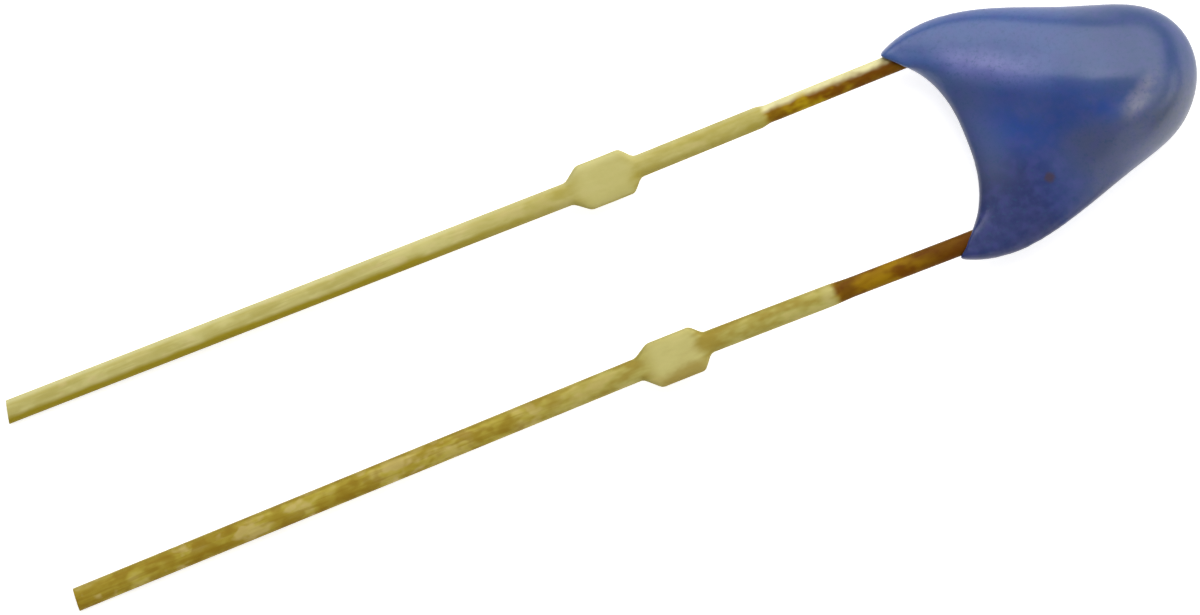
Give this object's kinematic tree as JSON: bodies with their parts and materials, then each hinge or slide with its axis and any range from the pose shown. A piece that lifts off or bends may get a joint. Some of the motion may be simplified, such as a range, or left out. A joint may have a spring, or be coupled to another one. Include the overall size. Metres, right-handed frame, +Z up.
{
  "type": "ntc thermistor",
  "caption": "Disc thermistor for a circuit board: a small ceramic disc between two stamped strip leads, dipped in glossy blue lacquer that drapes over both leads.",
  "frame": {"origin": "bottom centre of the bounding box, on the surface that the part lies on", "axes": "+X from the lead tips towards the lacquered head, Y across the two leads, +Z up through the thickness of the head"},
  "size_m": [0.0326, 0.0066, 0.0027],
  "materials": {
    "lacquer": "glossy dipped lacquer, slightly mottled",
    "ceramic": "sintered, dull",
    "silver": "fired silver paste, dull",
    "solder": "soft solder, satin",
    "tinned_strip": "tinned brass strip, satin, brown from heat next to the head"
  },
  "bodies": {
    "root": {"lacquer_coating": "lacquer", "thermistor_disc": "ceramic", "front_electrode": "silver", "back_electrode": "silver", "front_solder": "solder", "back_solder": "solder", "front_lead": "tinned_strip", "back_lead": "tinned_strip"}
  },
  "joints": []
}
